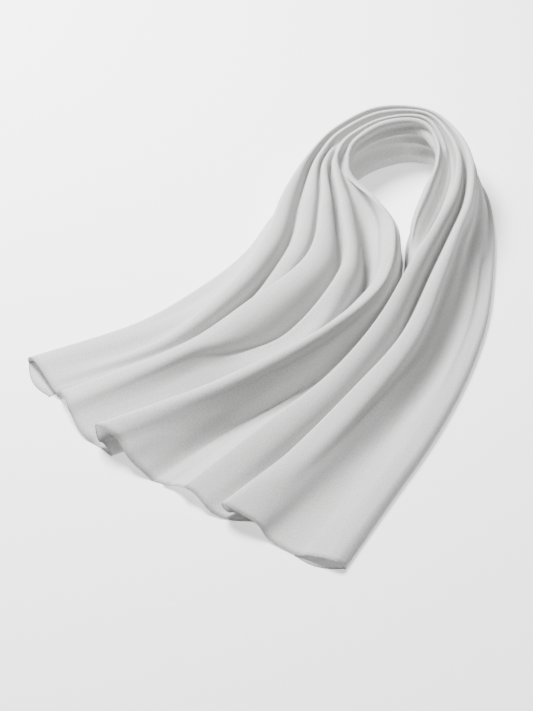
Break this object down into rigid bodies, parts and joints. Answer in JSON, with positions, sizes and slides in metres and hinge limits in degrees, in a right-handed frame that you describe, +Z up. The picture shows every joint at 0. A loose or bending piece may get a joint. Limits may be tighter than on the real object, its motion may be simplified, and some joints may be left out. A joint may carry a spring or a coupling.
{
  "type": "hijab headscarf",
  "caption": "Plain light headscarf laid flat on a surface, doubled at mid-length so that it turns in a loop at the neck, both tails spread in long soft folds",
  "frame": {"origin": "middle of the bounding box on the ground plane, at the height of the surface the scarf lies on", "axes": "+X across the two tails, +Y from the hems to the neck loop, +Z up from the surface"},
  "size_m": [0.6439, 0.9241, 0.1008],
  "materials": {
    "cloth": "matt plain-weave pale grey chiffon or crepe with a fine even grain",
    "hem": "the same cloth turned over and stitched in a narrow hem"
  },
  "bodies": {
    "root": {"left_tail": "cloth", "neck_loop": "cloth", "right_tail": "cloth", "left_hem": "hem", "right_hem": "hem"}
  },
  "joints": []
}
